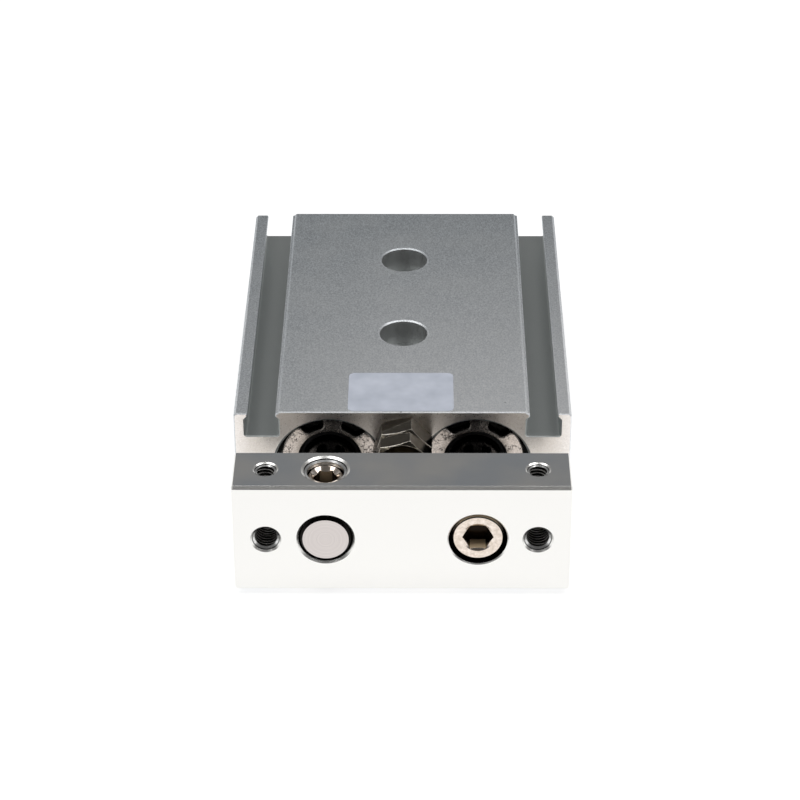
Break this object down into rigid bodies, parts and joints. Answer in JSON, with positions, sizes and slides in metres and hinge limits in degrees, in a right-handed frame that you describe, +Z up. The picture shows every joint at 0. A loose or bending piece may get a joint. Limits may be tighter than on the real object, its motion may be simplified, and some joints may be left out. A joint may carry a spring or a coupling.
{
  "type": "guided pneumatic cylinder",
  "caption": "Flat guided air cylinder: twin piston rods slide out of an extruded aluminium housing and carry a drilled tooling plate, with sensor slots on top.",
  "frame": {"origin": "middle of the footprint, on the housing's bottom face", "axes": "+Y from the tooling plate to the housing's rear, +X across, +Z up"},
  "size_m": [0.064, 0.104, 0.025],
  "materials": {
    "anodised_housing": "hard anodised, satin grey",
    "plate_aluminium": "clear anodised, fine machined",
    "cover_aluminium": "cast and machined",
    "head_cover_aluminium": "turned, satin",
    "piston_aluminium": "turned",
    "rod_chrome": "hard chromed and polished",
    "nickel_screw": "nickel plated",
    "dark_nickel_hexagon": "dark nickel plated",
    "phosphated_ring": "phosphated, black",
    "seal_rubber": "moulded nitrile",
    "pad_urethane": "moulded urethane",
    "magnet": "sintered"
  },
  "bodies": {
    "housing": {"housing": "anodised_housing", "adjusting_bolt": "dark_nickel_hexagon", "lock_nut": "dark_nickel_hexagon", "bolt_bumper": "pad_urethane", "port_plugs": "nickel_screw", "rod_cover_left": "cover_aluminium", "rod_cover_right": "cover_aluminium", "rod_seal_left": "seal_rubber", "rod_seal_right": "seal_rubber", "cover_o_ring_left": "seal_rubber", "cover_o_ring_right": "seal_rubber", "front_retaining_ring_left": "phosphated_ring", "front_retaining_ring_right": "phosphated_ring", "head_cover_left": "head_cover_aluminium", "head_cover_right": "head_cover_aluminium", "head_o_ring_left": "seal_rubber", "head_o_ring_right": "seal_rubber", "rear_retaining_ring_left": "phosphated_ring", "rear_retaining_ring_right": "phosphated_ring"},
    "carriage": {"tooling_plate": "plate_aluminium", "piston_rod_left": "rod_chrome", "piston_rod_right": "rod_chrome", "set_screw": "nickel_screw", "cap_bolt": "nickel_screw", "piston_left": "piston_aluminium", "piston_right": "piston_aluminium", "piston_seal_left": "seal_rubber", "piston_seal_right": "seal_rubber", "piston_magnet_left": "magnet", "piston_magnet_right": "magnet", "piston_bumper_left": "pad_urethane", "piston_bumper_right": "pad_urethane"}
  },
  "joints": [
    {"name": "plate_slide", "type": "slide", "parent": "housing", "child": "carriage", "axis": [0, -1, 0], "range_m": [0, 0.01]}
  ]
}
